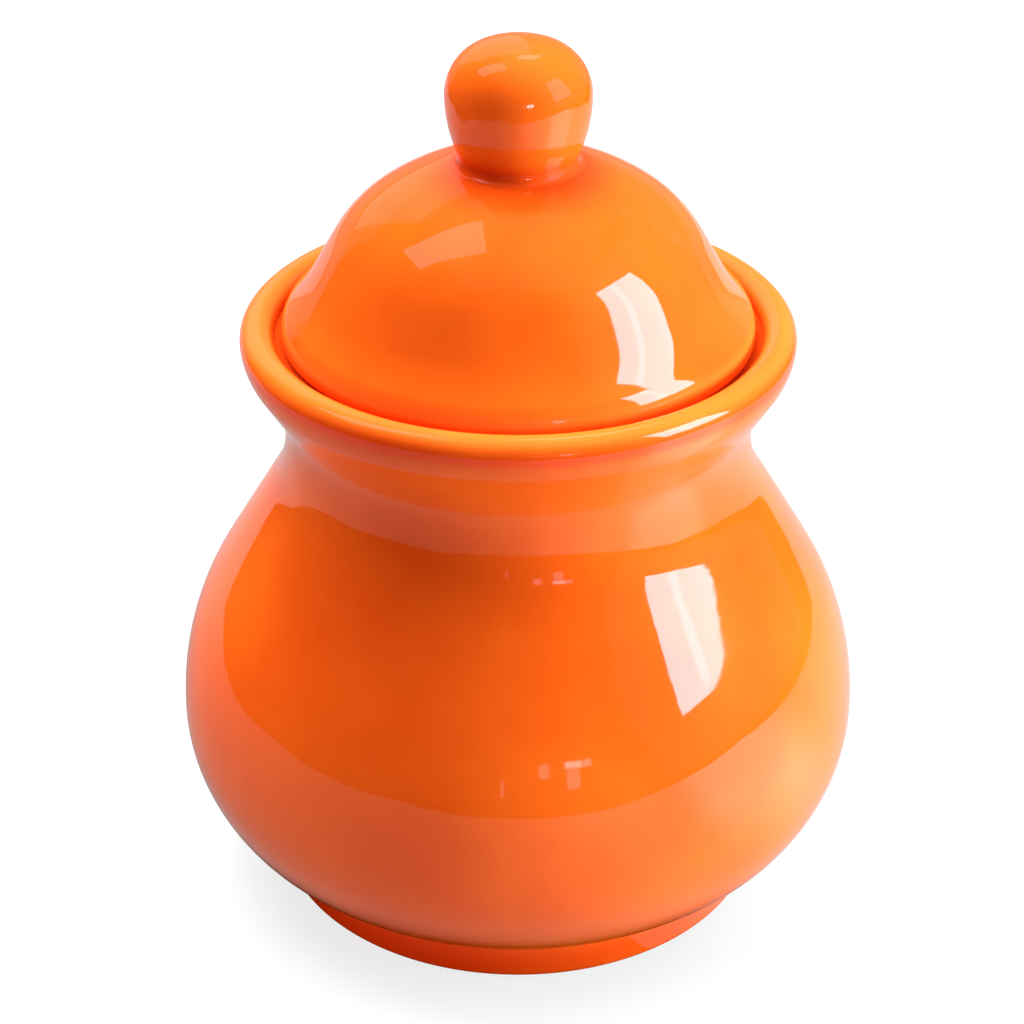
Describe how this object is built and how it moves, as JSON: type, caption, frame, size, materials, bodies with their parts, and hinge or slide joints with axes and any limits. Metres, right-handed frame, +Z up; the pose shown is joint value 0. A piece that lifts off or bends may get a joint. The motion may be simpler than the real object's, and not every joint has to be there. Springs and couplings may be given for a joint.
{
  "type": "sugar jar",
  "caption": "Round-bellied glazed ceramic sugar jar with a narrow neck, a rolled flared rim, a low foot ring and a loose domed lid with a knob that lifts off.",
  "frame": {"origin": "middle of the foot's underside, on the jar's axis", "axes": "+Z up along the jar's axis; the jar is round, so +X and +Y are any two square directions on the table"},
  "size_m": [0.105, 0.105, 0.135],
  "materials": {
    "orange_glaze": "gloss"
  },
  "bodies": {
    "jar": {"jar_body": "orange_glaze", "jar_collar": "orange_glaze", "foot_ring": "orange_glaze"},
    "lid": {"lid_dome": "orange_glaze", "lid_knob": "orange_glaze", "lid_flange": "orange_glaze"}
  },
  "joints": [
    {"name": "lid_lift", "type": "slide", "parent": "jar", "child": "lid", "axis": [0, 0, 1], "range_m": [0, 0.08]}
  ]
}
